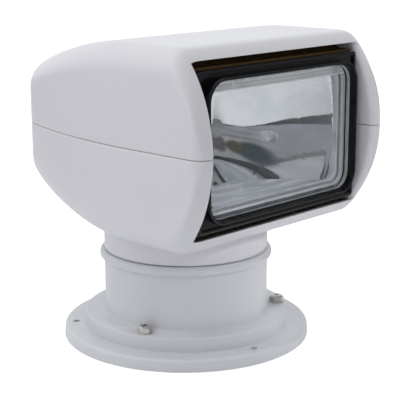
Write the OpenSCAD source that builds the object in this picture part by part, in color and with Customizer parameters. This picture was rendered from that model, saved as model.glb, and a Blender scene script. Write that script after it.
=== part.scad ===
// Marine searchlight: a head that pans on a bolted base, with a lamp unit that tilts inside the head.
// Millimetres, +Z up. The pan axis is Z, the deck is z = 0 and the lamp looks along -Y.

/* [Base] */
// Diameter of the mounting flange on the deck
flange_d = 190; // [182:1:200]
// Thickness of the mounting flange
flange_h = 9; // [8:0.5:9.5]
// Diameter of the column's foot step
step_d = 156.6; // [154:0.2:160]
// Height of the foot step above the flange
step_h = 10.5; // [8:0.5:12]
// Diameter of the column and of the neck above it
column_d = 126; // [124:0.2:128]
// Height of the column's top rim above the deck
column_top = 68.5; // [67.5:0.5:72]
// Height of the rounded bead round the column's top
bead_h = 7.4; // [6:0.1:12]
// How far the bead stands out of the column
bead_out = 3.4; // [2.5:0.1:4]
// Wall of the column
column_wall = 4.1; // [3:0.1:5]
// Circle of the deck bolts
deck_pcd = 172; // [168:1:174]
// Diameter of the deck bolt holes
deck_hole_d = 5.5; // [4.5:0.1:6.5]
// Circle of the screws that hold the column to the flange
foot_pcd = 143; // [140:0.5:145]
// Width across the flats of the column screws
foot_head_af = 10; // [8:0.5:11]
// Turn of the bolt pattern against the front of the lamp
base_turn = -11; // [-30:1:30]
// Width of the cable notch in the flange's rim
notch_w = 6.6; // [6:0.1:8]
// Bore of the cable grommet
cable_d = 9; // [6:0.5:10]

/* [Head] */
// Height of the seam between the two shell halves
seam_z = 163.4; // [163:0.2:168]
// Width of the head
head_w = 202.2; // [201:0.2:208]
// Height of the head
head_h = 139.2; // [138.8:0.2:144]
// Radius of the side view's round front
arc_r = 104.9; // [104:0.1:107]
// Radius of the side view's round back
back_r = 116.2; // [112:0.2:122]
// Centre of both radii, along Y
arc_y = -7; // [-8:0.1:-6]
// Rounding of the edges that run front to back
edge_r = 18; // [10:1:20]
// Rounding of the cheeks' noses on their outer side, in plan
nose_r = 9.7; // [7:0.1:11]
// Rounding of the cheeks' noses on the side of the opening
nose_in = 5; // [2:0.1:5.2]
// Rounding of the back corners in plan
tail_r = 22; // [14:1:30]
// Wall of the shell halves
wall = 2.6; // [2:0.1:2.8]
// Height of the seam's gasket
seam_gap = 0.5; // [0.3:0.1:1]
// Width of the cheek on each side of the front opening
cheek_w = 14.85; // [14.2:0.05:16]
// Height of the lip above the opening
lip_up = 8.8; // [7.5:0.1:10]
// Height of the lip below the opening
lip_down = 10.7; // [9:0.1:12]

/* [Lamp] */
// How far the bezel's plate lies behind the head's front
bezel_in = 16.9; // [16:0.1:18]
// Tilt axis behind the bezel's plate
tilt_back = 40; // [38.5:0.5:41]
// Gap between the bezel and each cheek
bezel_side = 1.25; // [0.8:0.05:2]
// Gap between the bezel and the upper lip
bezel_over = 6.3; // [5.5:0.05:7.5]
// Gap between the bezel and the lower lip
bezel_under = 3.9; // [3.2:0.05:4.5]
// Width of the bezel's frame on each side of the glass
frame_w = 7.5; // [7:0.1:9]
// Height of the bezel's frame above and below the glass
frame_h = 8.5; // [8:0.05:9]
// Width of the raised band along the bezel's outer edge
bezel_band = 2.8; // [2:0.1:3.2]
// Depth of the groove inside that band
bezel_step = 1.6; // [1:0.1:2.4]
// How far the ring round the glass stands out of the bezel's plate
ring_out = 5.7; // [3:0.1:6.5]
// Wall of the ring round the glass
ring_w = 2.7; // [2:0.1:2.9]
// Rounding of the glass corners
glass_r = 13; // [10:0.5:14]
// How far the glass stands out of the bezel's plate
glass_out = 1.5; // [1:0.1:2.5]
// How far the bucket's eaves start behind the bezel's face
eave_in = 4; // [3:0.5:6]
// Height of the bucket's eaves above and below the bezel
eave_h = 1.6; // [1.2:0.1:2]
// Wall of the glass's skirt
skirt_w = 5.5; // [4:0.1:6]
// Depth of the reflector's dish
dish_depth = 67.6; // [62:0.2:70]
// Gap between the curved shroud and the top of the head
shroud_gap = 4.5; // [4:0.1:6]
// Diameter of the bulb's glass
bulb_d = 9; // [8:0.5:11]

/* [Drive] */
// Teeth of the pan gear
pan_teeth = 60; // [56:1:62]
// Teeth of the tilt sector's full circle
tilt_teeth = 88; // [86:1:90]
// Teeth of both pinions
pinion_teeth = 18; // [17:1:19]
// Thinning of each tooth for backlash
tooth_slack = 0.16; // [0.1:0.02:0.25]
// Radius of the pan shaft
shaft_r = 11; // [10:0.5:12]
// Radius of the tilt pins
pin_r = 4; // [3:0.5:4.5]
// Diameter of both gearmotors
motor_d = 25; // [22:0.5:25]

/* [Clearances] */
// Radial running fit of shafts in bushes
run_gap = 0.05; // [0.02:0.01:0.1]
// Loose fit of a piece in its seat
seat_gap = 0.2; // [0.1:0.05:0.3]
// Gap between the column's rim and the turning neck
neck_gap = 0.5; // [0.4:0.1:1]

/* [Hidden] */
$fn = 96;
gear_m = 1;
flange_r = flange_d / 2;
step_r = step_d / 2;
step_z = flange_h + step_h;
column_r = column_d / 2;
bore_r = column_r - column_wall;
deck_angle = base_turn - 90;
foot_angle = base_turn - 30;
plate_z = column_top - 24;
plate_h = 6;
plate_top = plate_z + plate_h;
bush_lip = 1.5;
bush_len = 8;
hub_z = plate_z - 16;
pan_mid = gear_m * (pan_teeth + pinion_teeth) / 2;
tilt_mid = gear_m * (tilt_teeth + pinion_teeth) / 2;
gear_z = plate_top + bush_lip + 0.1;
gear_face = gear_z + 2.4;
gear_top = gear_face + 6.5;
web_z = column_top + 12;
web_top = web_z + 6;
neck_bot = column_top + neck_gap;
neck_in = column_r - 3;
spigot_r = bore_r - 1;
half_w = head_w / 2;
half_h = head_h / 2;
neck_top = seam_z - side_z(column_r, 0) + 2;
mouth_x = half_w - cheek_w;
mouth_up = half_h - lip_up;
mouth_down = half_h - lip_down;
bez_x = mouth_x - bezel_side;
bez_z = (mouth_up - bezel_over + mouth_down - bezel_under) / 2;
bezel_y = arc_y - arc_r + bezel_in;
tilt_y = bezel_y + tilt_back;
cheek_back = tilt_y - 14;
lamp_z = seam_z + (mouth_up - bezel_over - mouth_down + bezel_under) / 2;
glass_x = bez_x - frame_w;
glass_z = bez_z - frame_h;
ring_x = glass_x + 0.6 + ring_w;
ring_z = glass_z + 0.6 + ring_w;
shroud_r = half_h - wall - shroud_gap;
boss_x = bez_x - 5.8;
boss_z = bez_z - 4.6;
ledge_y = bezel_y + 5.8;
gasket_h = 1.2;
rim_y = ledge_y + gasket_h;
rim_h = 4.5;
refl_y = rim_y + rim_h;
refl_lip = 2.5;
seat_y = refl_y + refl_lip;
seat_h = 2.5;
rim_x = bez_x - 2.8;
rim_z = bez_z - 4.75;
bucket_x = bez_x - 1.8;
side_in = bucket_x - 2;
shroud_back = tilt_y + 5;
refl_x = glass_x - skirt_w - 0.5;
refl_z = glass_z - skirt_w - 0.5;
refl_t = 1.5;
vertex_y = refl_y + dish_depth;
focal = pow(refl_x, 2) / (4 * (dish_depth + refl_t));
bulb_tip = bezel_y - glass_out + 14;
bulb_len = vertex_y - 15 - bulb_tip - bulb_d / 2;
block_x = bucket_x + 4.7;
block_out = half_w - wall - 2;
sector_x = bucket_x;
sector_h = 4;
drive_dir = -35;
drive_y = tilt_y + tilt_mid * cos(drive_dir);
drive_z = lamp_z + tilt_mid * sin(drive_dir);
bracket_x = bucket_x - 3;
pad_x = bracket_x - 16;
pad_z = seam_z - half_h + 10.2;
screw_in = [half_w - wall - 4.2, tilt_y - 27];
screw_back = [58, 62];
board_z = seam_z + 18;

// Copies round the pan axis.
module round_z(count, r, start) {
  for (k = [0 : count - 1])
    rotate([0, 0, start + 360 * k / count])
      translate([r, 0, 0])
        children();
}

// A plain ring between two heights.
module ring(r_out, r_in, z0, z1) {
  translate([0, 0, z0])
    difference() {
      cylinder(r = r_out, h = z1 - z0);
      translate([0, 0, -1])
        cylinder(r = r_in, h = z1 - z0 + 2);
    }
}

// A rod along X.
module rod_x(r, x0, x1, y, z) {
  translate([x0, y, z])
    rotate([0, 90, 0])
      cylinder(r = r, h = x1 - x0);
}

// A rod along Y on the lamp's axis height.
module rod_y(r, y0, y1, x = 0, z = 0) {
  translate([x, y0, lamp_z + z])
    rotate([-90, 0, 0])
      cylinder(r = r, h = y1 - y0);
}

// A flat drawing in X and Z, drawn about the lamp's axis and raised along Y.
module lamp_slab(y0, y1) {
  translate([0, y1, lamp_z])
    rotate([90, 0, 0])
      linear_extrude(height = y1 - y0)
        children();
}

// A block given by its two corners.
module block(a, b) {
  translate(a)
    cube([b[0] - a[0], b[1] - a[1], b[2] - a[2]]);
}

// A pan-head screw that points along -Z, its seat at the origin.
module pan_screw(r, len, head_r, head_h) {
  translate([0, 0, -len])
    cylinder(r = r, h = len);
  difference() {
    cylinder(r = head_r, h = head_h);
    translate([0, 0, head_h - 1]) {
      translate([-head_r * 0.6, -0.4, 0])
        cube([head_r * 1.2, 0.8, 2]);
      translate([-0.4, -head_r * 0.6, 0])
        cube([0.8, head_r * 1.2, 2]);
    }
  }
}

// Rounded rectangle.
function round_rect(x, z, r, n = 8) = [
  for (q = [0 : 3])
    for (i = [0 : n])
      let (a = 90 * (q + i / n))
        [(q == 0 || q == 3 ? x - r : r - x) + r * cos(a), (q < 2 ? z - r : r - z) + r * sin(a)]
];

// Involute spur teeth: half the angle of a tooth at a radius, then the outline of one tooth.
function involute(a) = tan(a) * 180 / PI - a;
function tooth_half(n, r) =
  let (p = gear_m * n / 2, b = p * cos(20), a = acos(min(1, b / max(r, b))))
    90 / n - tooth_slack / p * 90 / PI + involute(20) - involute(a);
function tooth(n, c) =
  let (p = gear_m * n / 2, r0 = p - 1.25 * gear_m, r1 = p + 0.9 * gear_m,
       rs = [for (i = [0 : 4]) r0 + (r1 - r0) * i / 4])
    concat([for (r = rs) [r * cos(c - tooth_half(n, r)), r * sin(c - tooth_half(n, r))]],
           [for (i = [4 : -1 : 0]) [rs[i] * cos(c + tooth_half(n, rs[i])),
                                    rs[i] * sin(c + tooth_half(n, rs[i]))]]);
function teeth(n, start, k0, k1) = [for (k = [k0 : k1]) each tooth(n, start + 360 * k / n)];

// Form of the head. The plan narrows to the back and the side view is a circle cut flat above and below;
// t insets the form for the shell's inner face.
function plan_x(y, t) =
  let (front = arc_r - arc_y - t, back = arc_y + back_r - t,
       nose = nose_r - t / 2, tail = tail_r - t / 2,
       nose_cut = nose - sqrt(max(0, nose * nose - pow(max(0, nose - front - y), 2))),
       tail_cut = tail - sqrt(max(0, tail * tail - pow(max(0, y - back + tail), 2))))
    half_w * pow(1 - pow(max(0, y + 51.5) / 220.3, 1.9), 1 / 1.9) - t - nose_cut - tail_cut;
function top_z(y, t) = half_h * pow(1 - pow(max(0, y + 19.8) / 188.6, 1.434), 1 / 1.434) - t;
function side_z(y, t) =
  let (r = (y < arc_y ? arc_r : back_r) - t, c = sqrt(max(0.01, r * r - pow(y - arc_y, 2))), h = top_z(y, t))
    pow(pow(c / half_h, -30) + pow(h / half_h, -30), -1 / 30) * half_h;
function stations(t) =
  let (front = arc_y - (arc_r - t) * cos(44), back = arc_y + (back_r - t) * cos(43))
    concat([for (a = [2, 7, 13, 19, 25, 30, 34, 37.5, 40.5, 44]) arc_y - (arc_r - t) * cos(a)],
           [for (k = [1 : 12]) front + (back - front) * k / 13],
           [for (a = [43, 38, 33, 28, 24, 21, 18, 14, 10, 6, 2]) arc_y + (back_r - t) * cos(a)]);
function half_section(y, t) =
  let (w = plan_x(y, t), h = side_z(y, t), r = min(edge_r - t, 0.96 * h))
    concat([[w, y, 0]],
           [for (i = [0 : 6]) [w - r + r * cos(15 * i), y, h - r + r * sin(15 * i)]],
           [for (i = [6 : -1 : 0]) [r - w - r * cos(15 * i), y, h - r + r * sin(15 * i)]],
           [[-w, y, 0]]);

// One half of the head's form above z = 0, closed by the seam plane.
module half_form(t) {
  ys = stations(t);
  n = 16;
  m = len(ys);
  points = [for (y = ys) each half_section(y, t)];
  sides = [
    for (i = [0 : m - 2])
      for (j = [0 : n - 1])
        let (a = i * n + j, b = i * n + (j + 1) % n, c = b + n, d = a + n)
          each [[a, b, c], [a, c, d]]
  ];
  ends = [
    [for (j = [n - 1 : -1 : 0]) j],
    [for (j = [0 : n - 1]) (m - 1) * n + j]
  ];
  polyhedron(points = points, faces = concat(sides, ends), convexity = 6);
}

// Base

module mounting_flange() {
  color("white")
    difference() {
      rotate_extrude()
        polygon([[9, 4], [62, 4], [62, 0], [flange_r, 0], [flange_r, 2], [flange_r - 1.1, flange_h - 1.3],
                 [flange_r - 1.6, flange_h - 0.4], [flange_r - 2.4, flange_h], [9, flange_h]]);
      ring(step_r - 9.2, step_r - 12.4, flange_h - gasket_h, flange_h + 1);
      round_z(3, deck_pcd / 2, deck_angle)
        translate([0, 0, -1])
          cylinder(d = deck_hole_d, h = flange_h + 2);
      round_z(3, foot_pcd / 2, foot_angle)
        translate([0, 0, -1])
          cylinder(r = 2.5 + seat_gap / 2, h = flange_h + 2);
      rotate([0, 0, 134])
        block([58, -notch_w / 2, -1], [flange_r + 1, notch_w / 2, 5.4]);
    }
}

module cable_grommet() {
  color("black")
    rotate_extrude()
      polygon([[cable_d / 2, 2.4], [11.5, 2.4], [12, 2.9], [12, 4], [9 - seat_gap, 4], [9 - seat_gap, flange_h],
               [12, flange_h], [12, flange_h + 1], [11.5, flange_h + 1.5], [cable_d / 2, flange_h + 1.5]]);
}

module column_gasket() {
  color("black")
    ring(step_r - 9.3, step_r - 12.3, flange_h - gasket_h, flange_h);
}

module base_column() {
  bead_mid = column_top - bead_h / 2;
  bead = [for (i = [0 : 14])
    let (a = -90 + 180 * i / 14, k = pow(abs(cos(a)), 0.75))
      [column_r + bead_out * k, bead_mid + bead_h / 2 * sin(a)]];
  color("white")
    difference() {
      union() {
        rotate_extrude()
          polygon(concat([[bore_r, flange_h], [step_r, flange_h], [step_r, step_z - 1], [step_r - 1, step_z],
                          [column_r + 1, step_z], [column_r, step_z + 1]], bead, [[bore_r, column_top]]));
        round_z(3, bore_r - 4.5, base_turn + 30)
          translate([0, 0, plate_z - 12])
            cylinder(r = 6, h = 12);
      }
      round_z(3, foot_pcd / 2, foot_angle)
        translate([0, 0, flange_h - 1])
          cylinder(r = 3.2, h = step_h + 2);
      round_z(3, bore_r - 4.5, base_turn + 30)
        translate([0, 0, plate_z - 10])
          cylinder(r = 1.6, h = 12);
    }
}

module column_screws() {
  color("silver")
    round_z(3, foot_pcd / 2, foot_angle)
      difference() {
        union() {
          translate([0, 0, 2])
            cylinder(r = 2.5, h = step_z - 2);
          translate([0, 0, step_z])
            cylinder(r = foot_head_af / 2 + 0.6, h = 1);
          intersection() {
            translate([0, 0, step_z + 1])
              cylinder(d = foot_head_af / cos(30), h = 4.6, $fn = 6);
            translate([0, 0, step_z - 0.1])
              sphere(r = 0.7 * foot_head_af);
          }
        }
        translate([-3, -0.6, step_z + 4])
          cube([6, 1.2, 3]);
        translate([-0.6, -3, step_z + 4])
          cube([1.2, 6, 3]);
      }
}

module bearing_plate() {
  color("silver")
    difference() {
      union() {
        translate([0, 0, plate_z])
          cylinder(r = bore_r - 0.3, h = plate_h);
        translate([0, 0, hub_z])
          cylinder(r = shaft_r + 7, h = 16.5);
        translate([0, -24, plate_top - 0.5])
          cylinder(r = 2, h = 3.2);
      }
      translate([0, 0, hub_z - 1])
        cylinder(r = shaft_r + 2, h = 30);
      round_z(3, bore_r - 4.5, base_turn + 30)
        translate([0, 0, plate_z - 1])
          cylinder(r = 1.8, h = plate_h + 2);
      translate([0, pan_mid, plate_z - 1])
        cylinder(r = 4, h = plate_h + 2);
      for (s = [-1, 1])
        translate([s * 8.5, pan_mid, plate_z - 1])
          cylinder(r = 1.7, h = plate_h + 2);
      for (a = [200, 340])
        rotate([0, 0, a])
          translate([38, 0, plate_z - 1])
            cylinder(r = 9, h = plate_h + 2);
    }
}

module plate_screws() {
  color("silver")
    round_z(3, bore_r - 4.5, base_turn + 30)
      translate([0, 0, plate_top])
        pan_screw(1.5, plate_h + 8, 3.2, 2);
}

module bush(z0, z1, lip0, lip1) {
  color("tan")
    union() {
      ring(shaft_r + 2, shaft_r + run_gap, z0, z1);
      ring(shaft_r + 6, shaft_r + run_gap, lip0, lip1);
    }
}

module upper_bush() {
  bush(plate_top - bush_len, plate_top, plate_top, plate_top + bush_lip);
}

module lower_bush() {
  bush(hub_z, hub_z + bush_len, hub_z - bush_lip, hub_z);
}

module gearmotor() {
  difference() {
    union() {
      cylinder(d = motor_d, h = 15);
      translate([0, 0, 15])
        cylinder(d = motor_d - 0.8, h = 15.5);
      translate([0, 0, 30.5])
        cylinder(d = 9, h = 2);
      translate([0, 0, -2])
        cylinder(r = 3.5, h = 2);
      for (s = [-1, 1])
        translate([s * 6 - 1.2, -0.4, 30.5])
          cube([2.4, 0.8, 3.4]);
    }
    translate([0, 0, -3])
      cylinder(r = 2 + run_gap, h = 12);
    for (s = [-1, 1])
      translate([s * 8.5, 0, -1])
        cylinder(r = 1.6, h = 7);
  }
}

module pan_motor() {
  color("gray")
    translate([0, pan_mid, plate_z])
      mirror([0, 0, 1])
        gearmotor();
}

module motor_screws() {
  color("silver")
    for (s = [-1, 1])
      translate([s * 8.5, pan_mid, plate_top])
        pan_screw(1.5, plate_h + 5, 2.8, 1.8);
}

module pan_pinion() {
  color("gold")
    translate([0, pan_mid, 0])
      union() {
        translate([0, 0, gear_face - 0.4])
          linear_extrude(height = gear_top - gear_face + 0.8)
            polygon(teeth(pinion_teeth, -90 + 180 / pinion_teeth, 0, pinion_teeth - 1));
        translate([0, 0, plate_z - 8])
          cylinder(r = 2, h = gear_face - plate_z + 8);
      }
}

// Head

// Bosses, cheek walls and shelves that stand inside the lower half.
module lower_inside() {
  for (s = [-1, 1]) {
    translate([s * (mouth_x + wall / 2), -105, -35])
      cube([wall, 2 * (cheek_back + 105), 80], center = true);
    translate([s * (block_x + 10), tilt_y, -60])
      cube([20, 30, 70], center = true);
    translate([s * screw_in[0], screw_in[1], -80])
      cylinder(r = 4.8, h = 82);
    translate([s * screw_back[0], screw_back[1], -80])
      cylinder(r = 4.8, h = 82);
  }
  block([pad_x, drive_y - 14, -75], [bracket_x + 10, drive_y + 14, pad_z - seam_z]);
}

// Rounds the edge between each cheek's nose and the opening, along the head's round front.
module nose_rounding() {
  edge = [for (i = [0 : 6]) let (a = 15 * i)
    [arc_r - nose_in + nose_in * cos(a), mouth_x + nose_in - nose_in * sin(a)]];
  intersection() {
    for (s = [0, 1])
      mirror([s, 0, 0])
        translate([0, arc_y, seam_z])
          rotate([0, 90, 0])
            rotate_extrude()
              polygon(concat([[arc_r + 2, mouth_x + nose_in]], edge,
                             [[arc_r - nose_in, mouth_x - 1], [arc_r + 2, mouth_x - 1]]));
    block([-half_w, -130, seam_z - mouth_down], [half_w, tilt_y - 20, seam_z + mouth_up]);
  }
}

module lower_shell() {
  color("white")
    difference() {
      union() {
        translate([0, 0, seam_z - seam_gap / 2])
          mirror([0, 0, 1])
            half_form(0);
        translate([0, 0, neck_bot])
          cylinder(r = column_r, h = neck_top - neck_bot);
        translate([0, 0, neck_bot - 10])
          cylinder(r = spigot_r, h = 11);
      }
      difference() {
        translate([0, 0, seam_z - seam_gap / 2 + 0.001])
          mirror([0, 0, 1])
            half_form(wall);
        translate([0, 0, seam_z])
          lower_inside();
      }
      block([-mouth_x, -130, seam_z - mouth_down], [mouth_x, tilt_y - 20, seam_z + 1]);
      nose_rounding();
      translate([0, 0, web_top])
        cylinder(r = neck_in, h = 30);
      translate([0, 0, neck_bot + 4])
        cylinder(r = neck_in, h = web_z - neck_bot - 4);
      translate([0, 0, neck_bot - 11])
        cylinder(r = spigot_r - 2.5, h = 20);
      ring(spigot_r + 1, spigot_r - 1.2, neck_bot - 6.5, neck_bot - 3.5);
      translate([0, 0, web_z - 1])
        cylinder(r = shaft_r + seat_gap, h = 10);
      round_z(4, shaft_r + 8.5, 45)
        translate([0, 0, web_z + 0.8])
          cylinder(r = 1.6, h = 10);
      for (s = [-1, 1]) {
        for (p = [screw_in, screw_back])
          translate([s * p[0], p[1], seam_z]) {
            translate([0, 0, -80])
              cylinder(r = 1.8, h = 90);
            translate([0, 0, -80])
              cylinder(r = 3.6, h = 50);
          }
        for (d = [-10.6, 10.6])
          translate([s * (block_x + block_out) / 2, tilt_y + d, seam_z - 35])
            cylinder(r = 1.3, h = 12);
      }
      for (d = [-10, 10])
        translate([pad_x + 6, drive_y + d, pad_z - 8])
          cylinder(r = 1.3, h = 12);
    }
}

// Bosses and cheek walls that hang inside the upper half.
module upper_inside() {
  for (s = [-1, 1]) {
    translate([s * (mouth_x + wall / 2), -105, 35])
      cube([wall, 2 * (cheek_back + 105), 80], center = true);
    translate([s * screw_in[0], screw_in[1], -2])
      cylinder(r = 4.8, h = 82);
    translate([s * screw_back[0], screw_back[1], -2])
      cylinder(r = 4.8, h = 82);
    for (y = [28, 64])
      translate([s * 34, y, board_z + 1.6 - seam_z])
        cylinder(r = 4, h = 60);
  }
}

module upper_shell() {
  color("white")
    difference() {
      translate([0, 0, seam_z + seam_gap / 2])
        half_form(0);
      difference() {
        translate([0, 0, seam_z + seam_gap / 2 - 0.001])
          half_form(wall);
        translate([0, 0, seam_z])
          upper_inside();
      }
      block([-mouth_x, -130, seam_z - 1], [mouth_x, tilt_y - 20, seam_z + mouth_up]);
      nose_rounding();
      for (s = [-1, 1]) {
        for (p = [screw_in, screw_back])
          translate([s * p[0], p[1], seam_z - 1])
            cylinder(r = 1.6, h = 16);
        for (y = [28, 64])
          translate([s * 34, y, board_z])
            cylinder(r = 1.3, h = 12);
      }
    }
}

// Plan of the head at the seam, inset by t.
function seam_plan(t) =
  let (ys = stations(t), n = len(ys))
    concat([for (y = ys) [plan_x(y, t), y]], [for (k = [n - 1 : -1 : 0]) [-plan_x(ys[k], t), ys[k]]]);

module shell_gasket() {
  color("black")
    difference() {
      translate([0, 0, seam_z - seam_gap / 2])
        linear_extrude(height = seam_gap)
          difference() {
            polygon(seam_plan(0.9));
            polygon(seam_plan(wall - 0.2));
          }
      block([-mouth_x - nose_in, -130, seam_z - 2], [mouth_x + nose_in, tilt_y - 20, seam_z + 2]);
    }
}

module shell_screws() {
  color("silver")
    for (s = [-1, 1])
      for (p = [screw_in, screw_back])
        translate([s * p[0], p[1], seam_z - 30])
          mirror([0, 0, 1])
            pan_screw(1.5, 43, 3.2, 2.2);
}

module neck_seal() {
  color("black")
    ring(bore_r - 0.35, spigot_r - 1.2, neck_bot - 6.4, neck_bot - 3.6);
}

module pan_shaft() {
  color("silver")
    difference() {
      union() {
        translate([0, 0, hub_z - 8])
          cylinder(r = shaft_r, h = web_top - hub_z + 8);
        translate([0, 0, web_top])
          cylinder(r = shaft_r + 14, h = 3);
      }
      translate([0, 0, hub_z - 9])
        cylinder(r = shaft_r - 3.5, h = 80);
      ring(shaft_r + 1, shaft_r - 1, hub_z - bush_lip - 2.1, hub_z - bush_lip - 0.3);
      round_z(4, shaft_r + 8.5, 45)
        translate([0, 0, web_top - 1])
          cylinder(r = 1.7, h = 6);
    }
}

module shaft_screws() {
  color("silver")
    round_z(4, shaft_r + 8.5, 45)
      translate([0, 0, web_top + 3])
        pan_screw(1.5, 7.5, 3, 2);
}

module gear_spacer() {
  color("silver")
    ring(shaft_r + 4, shaft_r + 0.03, gear_top, web_z);
}

module pan_gear() {
  color("ivory")
    difference() {
      union() {
        translate([0, 0, gear_face])
          linear_extrude(height = gear_top - gear_face)
            polygon(teeth(pan_teeth, 90, 0, pan_teeth - 1));
        translate([0, 0, gear_z])
          cylinder(r = shaft_r + 5, h = 3);
        block([-3, 19, gear_z], [3, 27, gear_face + 1]);
      }
      translate([0, 0, gear_z - 1])
        cylinder(r = shaft_r + 0.03, h = 20);
      round_z(4, 21.5, 45)
        translate([0, 0, gear_face - 1])
          cylinder(r = 4.2, h = 20);
    }
}

module retaining_ring() {
  color("dimgray")
    difference() {
      ring(shaft_r + 3, shaft_r - 1, hub_z - bush_lip - 2, hub_z - bush_lip - 0.4);
      block([-3, -20, hub_z - 8], [3, 0, hub_z]);
    }
}

module bearing_blocks() {
  color("dimgray")
    for (s = [0, 1])
      mirror([s, 0, 0])
        difference() {
          union() {
            block([block_x, tilt_y - 13.5, seam_z - 25], [block_out, tilt_y + 13.5, seam_z - 20]);
            block([block_x, tilt_y - 7.5, seam_z - 20.5], [block_out, tilt_y + 7.5, lamp_z]);
            rod_x(9.5, block_x, block_out, tilt_y, lamp_z);
          }
          rod_x(pin_r + 2, block_x - 1, block_out + 1, tilt_y, lamp_z);
          for (d = [-10.6, 10.6])
            translate([(block_x + block_out) / 2, tilt_y + d, seam_z - 26])
              cylinder(r = 1.7, h = 10);
        }
}

module block_screws() {
  color("silver")
    for (s = [-1, 1])
      for (d = [-10.6, 10.6])
        translate([s * (block_x + block_out) / 2, tilt_y + d, seam_z - 20])
          pan_screw(1.25, 13, 2.5, 1.6);
}

module tilt_bushes() {
  color("tan")
    for (s = [0, 1])
      mirror([s, 0, 0])
        difference() {
          rod_x(pin_r + 2, block_x, block_out, tilt_y, lamp_z);
          rod_x(pin_r + run_gap, block_x - 1, block_out + 1, tilt_y, lamp_z);
        }
}

module tilt_motor() {
  color("gray")
    translate([bracket_x - 2, drive_y, drive_z])
      rotate([0, -90, 0])
        gearmotor();
}

module tilt_bracket() {
  color("silver")
    difference() {
      union() {
        block([bracket_x - 2, drive_y - 14, pad_z], [bracket_x, drive_y + 14, drive_z + 13]);
        block([pad_x, drive_y - 14, pad_z], [bracket_x, drive_y + 14, pad_z + 2]);
      }
      rod_x(3.8, bracket_x - 3, bracket_x + 1, drive_y, drive_z);
      for (d = [-8.5, 8.5])
        rod_x(1.7, bracket_x - 3, bracket_x + 1, drive_y, drive_z + d);
      for (d = [-10, 10])
        translate([pad_x + 6, drive_y + d, pad_z - 4])
          cylinder(r = 1.7, h = 10);
    }
}

module bracket_screws() {
  color("silver") {
    for (d = [-10, 10])
      translate([pad_x + 6, drive_y + d, pad_z + 2])
        pan_screw(1.25, 9, 2.6, 1.6);
    for (d = [-8.5, 8.5])
      translate([bracket_x, drive_y, drive_z + d])
        rotate([0, 90, 0])
          pan_screw(1.5, 6.5, 2.6, 1.6);
  }
}

module receiver_board() {
  color("green")
    difference() {
      block([-40, 22, board_z], [40, 70, board_z + 1.6]);
      for (s = [-1, 1])
        for (y = [28, 64])
          translate([s * 34, y, board_z - 1])
            cylinder(r = 1.6, h = 4);
    }
}

module board_parts() {
  color("dimgray") {
    for (k = [0 : 3])
      block([-28 + 15 * k, 50, board_z - 12], [-16 + 15 * k, 66, board_z]);
    block([-24, 24, board_z - 9], [24, 33, board_z]);
    block([-12, 38, board_z - 2.2], [8, 46, board_z]);
    translate([24, 42, board_z - 11])
      cylinder(r = 4, h = 11);
  }
}

module board_screws() {
  color("silver")
    for (s = [-1, 1])
      for (y = [28, 64])
        translate([s * 34, y, board_z])
          mirror([0, 0, 1])
            pan_screw(1.25, 10, 2.6, 1.6);
}

// Lamp unit

module lamp_bucket() {
  color("black")
    difference() {
      union() {
        intersection() {
          rod_x(shroud_r, -bucket_x, bucket_x, tilt_y, lamp_z);
          difference() {
            block([-bucket_x, seat_y, lamp_z - 70], [bucket_x, shroud_back, lamp_z + 70]);
            difference() {
              rod_x(shroud_r - 2.2, -side_in, side_in, tilt_y, lamp_z);
              block([-bucket_x, seat_y - 1, lamp_z - 70], [bucket_x, seat_y + seat_h, lamp_z + 70]);
            }
          }
        }
        for (s = [0, 1])
          mirror([s, 0, 0])
            rod_x(9, bucket_x - 10, bucket_x, tilt_y, lamp_z);
        for (s = [0, 1])
          translate([0, 0, lamp_z])
            mirror([0, 0, s])
              block([-bucket_x, bezel_y + eave_in, bez_z + 0.1], [bucket_x, seat_y + 1, bez_z + eave_h]);
      }
      lamp_slab(seat_y - 1, seat_y + seat_h + 1)
        polygon(round_rect(refl_x + refl_t + seat_gap, refl_z + refl_t + seat_gap, 4));
      for (s = [0, 1])
        mirror([s, 0, 0])
          rod_x(pin_r, bucket_x - 9, bucket_x + 1, tilt_y, lamp_z);
      for (x = [-1, 1])
        for (z = [-1, 1])
          rod_y(1.2, seat_y - 1, seat_y + seat_h + 1, x * boss_x, z * boss_z);
      for (z = [-22, 22])
        rod_x(1.3, bucket_x - 2, bucket_x + 1, tilt_y, lamp_z + z);
    }
}

module bezel() {
  color("black")
    difference() {
      union() {
        difference() {
          union() {
            lamp_slab(bezel_y, seat_y)
              difference() {
                polygon(round_rect(bez_x, bez_z, 3));
                polygon(round_rect(bez_x - bezel_band, bez_z - bezel_band, 2.5));
              }
            lamp_slab(bezel_y + bezel_step, seat_y)
              polygon(round_rect(bez_x - bezel_band, bez_z - bezel_band, 2.5));
            lamp_slab(bezel_y - ring_out, bezel_y + bezel_step)
              polygon(round_rect(ring_x, ring_z, glass_r + 0.6 + ring_w));
          }
          lamp_slab(ledge_y, seat_y + 1)
            polygon(round_rect(bez_x - 2, bez_z - 2, 2));
        }
        for (x = [-1, 1])
          for (z = [-1, 1])
            rod_y(2.8, ledge_y - 0.5, seat_y, x * boss_x, z * boss_z);
      }
      lamp_slab(bezel_y - ring_out - 1, bezel_y + 20)
        polygon(round_rect(glass_x + 0.6, glass_z + 0.6, glass_r + 0.6));
      lamp_slab(bezel_y - ring_out - 1, bezel_y - glass_out)
        polygon(round_rect(glass_x + 1.4, glass_z + 1.4, glass_r + 1.4));
      for (x = [-1, 1])
        for (z = [-1, 1])
          rod_y(1.05, seat_y - 8, seat_y + 1, x * boss_x, z * boss_z);
    }
}

module bezel_screws() {
  color("silver")
    for (x = [-1, 1])
      for (z = [-1, 1])
        translate([x * boss_x, seat_y + seat_h, lamp_z + z * boss_z])
          rotate([-90, 0, 0])
            pan_screw(1, 9, 1.9, 1.4);
}

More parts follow.
